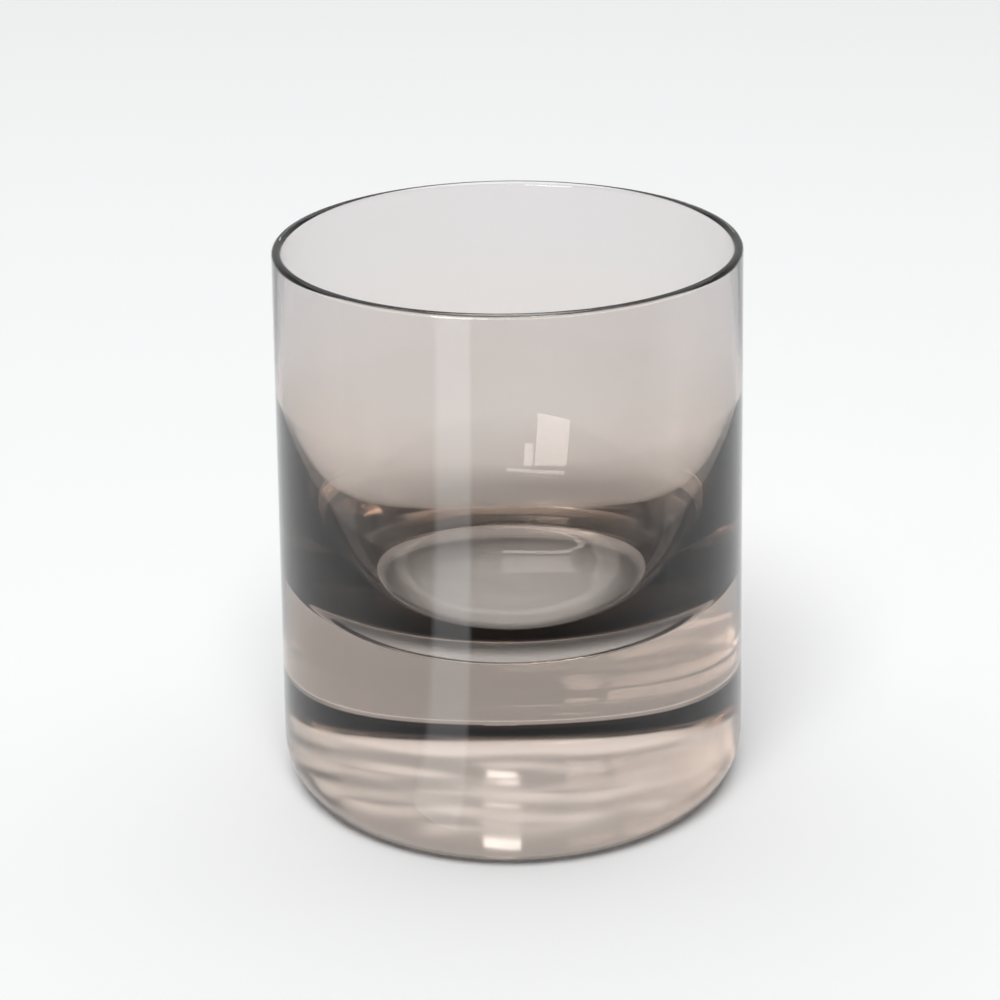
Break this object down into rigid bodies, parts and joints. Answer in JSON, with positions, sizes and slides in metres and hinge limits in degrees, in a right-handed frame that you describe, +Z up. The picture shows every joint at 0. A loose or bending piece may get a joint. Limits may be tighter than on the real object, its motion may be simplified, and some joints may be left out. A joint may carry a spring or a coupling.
{
  "type": "rocks glass",
  "caption": "Short drinking glass, a little wider at the foot, with a thin smoke-tinted wall, a rounded cavity and a heavy solid base with a small round heel.",
  "frame": {"origin": "middle of the foot, on the surface that the glass stands on", "axes": "+Z up along the glass's axis of revolution, towards the mouth"},
  "size_m": [0.082, 0.082, 0.0962],
  "materials": {
    "clear_glass": "clear blown glass, fire-polished, with a ground and polished foot",
    "smoke_glass": "thin warm smoke casing, glossy and see-through"
  },
  "bodies": {
    "root": {"bowl": "clear_glass", "base": "clear_glass", "smoke_casing": "smoke_glass"}
  },
  "joints": []
}
